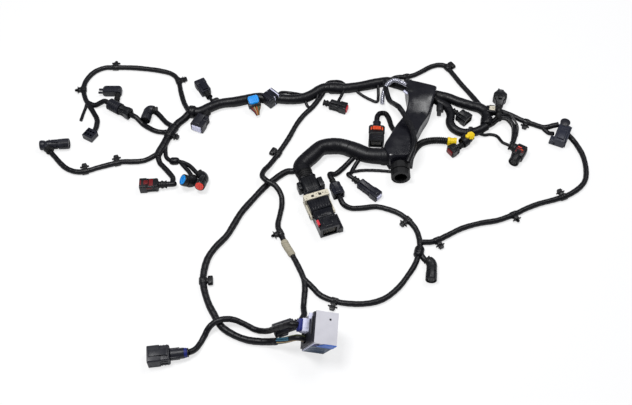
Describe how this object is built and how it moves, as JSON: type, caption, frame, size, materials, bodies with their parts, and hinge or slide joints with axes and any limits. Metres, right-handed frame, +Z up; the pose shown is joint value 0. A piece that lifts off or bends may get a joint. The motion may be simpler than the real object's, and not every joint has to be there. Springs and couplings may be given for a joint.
{
  "type": "vehicle wiring harness",
  "caption": "Taped wiring harness with branching leads, moulded plugs, cable duct, lever plug, push-in clips and a control module.",
  "frame": {"origin": "centre of the harness in plan, on the surface it lies on", "axes": "+X along the upper trunk, away from its left junction; +Y from the module towards the trunk; +Z up"},
  "size_m": [1.0348, 0.6773, 0.0869],
  "materials": {
    "tape": "black cloth and vinyl tape",
    "black_plastic": "moulded, satin",
    "grey_plastic": "moulded, satin",
    "duct_plastic": "moulded, half gloss",
    "dark_blue_plastic": "moulded",
    "white_plastic": "moulded",
    "cream_plastic": "moulded",
    "red_plastic": "moulded",
    "dark_red_plastic": "moulded",
    "orange_plastic": "moulded",
    "coral_plastic": "moulded",
    "blue_plastic": "moulded",
    "yellow_plastic": "moulded",
    "rubber": "matt",
    "silver_sleeve": "ribbed foil sleeve",
    "module_cover": "folded sheet, satin"
  },
  "bodies": {
    "harness": {"bracket_right": "black_plastic", "bundle_right": "tape", "collar_yellow": "yellow_plastic", "conduit": "rubber", "duct": "duct_plastic", "grommet": "rubber", "lead_booted_elbow": "tape", "lead_colour_pair": "tape", "lead_diagonal": "tape", "lead_far_left": "tape", "lead_far_right": "tape", "lead_great": "tape", "lead_inline_left": "tape", "lead_long": "tape", "lead_loop_left": "tape", "lead_orange_locked": "tape", "lead_over_duct": "tape", "lead_red_locked": "tape", "lead_right": "tape", "lead_ring": "tape", "lead_small_white": "tape", "lead_upper_right": "tape", "main_boot": "black_plastic", "main_housing": "black_plastic", "module_cover": "module_cover", "module_housing": "dark_blue_plastic", "module_plug": "white_plastic", "plug_blue_faced": "black_plastic", "plug_blue_trunk": "blue_plastic", "plug_booted_elbow": "grey_plastic", "plug_far_left": "black_plastic", "plug_far_right": "black_plastic", "plug_great": "grey_plastic", "plug_hooked": "black_plastic", "plug_left_elbow": "black_plastic", "plug_mid_right": "black_plastic", "plug_orange_locked": "black_plastic", "plug_red_ended": "black_plastic", "plug_red_faced": "black_plastic", "plug_red_locked": "black_plastic", "plug_red_orange": "coral_plastic", "plug_ring_elbow": "black_plastic", "plug_round_mouthed": "black_plastic", "plug_side": "black_plastic", "plug_six_way": "black_plastic", "plug_small_white": "black_plastic", "plug_stepped": "black_plastic", "plug_upright": "black_plastic", "plug_white_faced": "grey_plastic", "plug_yellow_round": "black_plastic", "sleeve_main": "tape", "sleeve_silver": "silver_sleeve", "splice_block": "black_plastic", "trunk_left": "tape", "trunk_upper": "tape", "wire_arch": "tape"},
    "lever": {"main_lever": "cream_plastic"},
    "main_lock": {"main_slider": "red_plastic"},
    "red_lock": {"lock_red": "dark_red_plastic"},
    "orange_lock": {"lock_orange": "orange_plastic"}
  },
  "joints": [
    {"name": "lever_hinge", "type": "hinge", "parent": "harness", "child": "lever", "pos_m": [0.02005, -0.05035, 0.0155], "axis": [0.9397, 0.342, 0], "range_deg": [0, 65]},
    {"name": "main_lock_slide", "type": "slide", "parent": "harness", "child": "main_lock", "axis": [0.342, -0.9397, 0], "range_m": [0, 0.004]},
    {"name": "red_lock_slide", "type": "slide", "parent": "harness", "child": "red_lock", "axis": [-0.9976, -0.0698, 0], "range_m": [0, 0.003]},
    {"name": "orange_lock_slide", "type": "slide", "parent": "harness", "child": "orange_lock", "axis": [-0.0698, -0.9976, 0], "range_m": [0, 0.003]}
  ]
}
